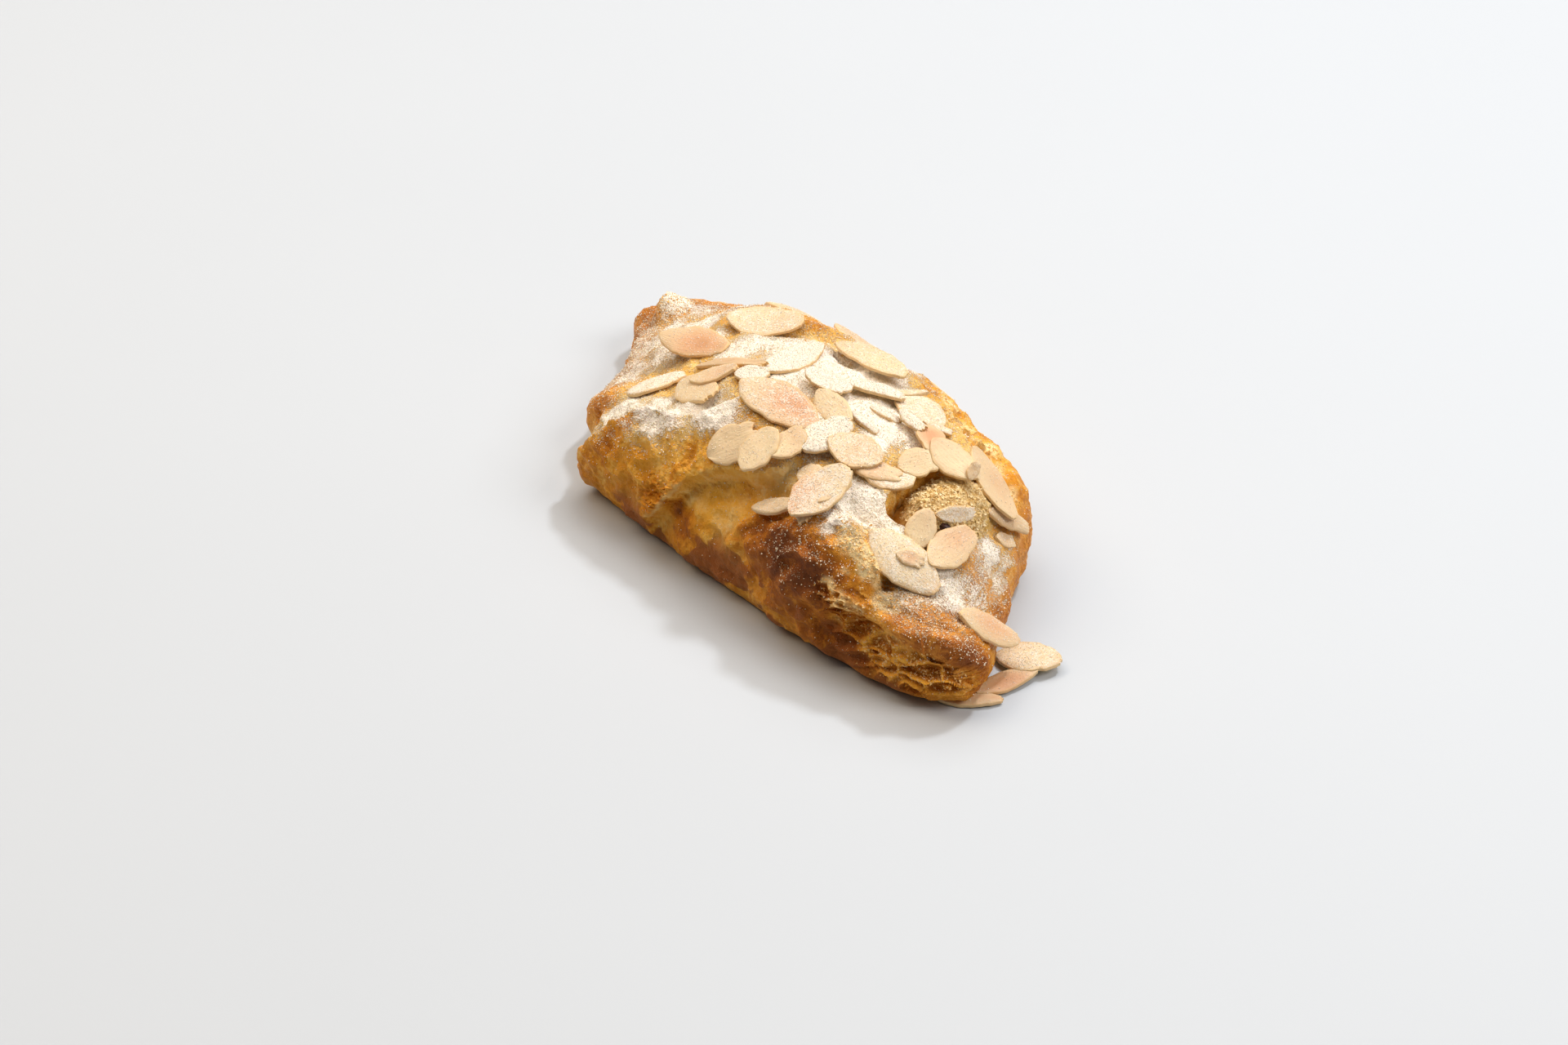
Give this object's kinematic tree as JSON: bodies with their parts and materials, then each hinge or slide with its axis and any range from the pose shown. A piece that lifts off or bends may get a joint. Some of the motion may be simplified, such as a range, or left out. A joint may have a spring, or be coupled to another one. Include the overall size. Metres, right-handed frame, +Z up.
{
  "type": "almond pastry",
  "caption": "Oblong flaky baked pastry parcel folded over an almond filling that shows through a torn opening, topped with flaked almonds and dusted sugar.",
  "frame": {"origin": "centre of the bounding box, on the underside that rests on the plate", "axes": "+X along the pastry's length towards the torn opening and the crumbly end, +Y away from the front flank, +Z up"},
  "size_m": [0.1623, 0.0813, 0.0431],
  "materials": {
    "crust": "matte golden baked dough with pale flaked almonds and white icing sugar",
    "almond_filling": "moist pale yellow almond paste"
  },
  "bodies": {
    "root": {"pastry": "crust", "filling": "almond_filling"}
  },
  "joints": []
}
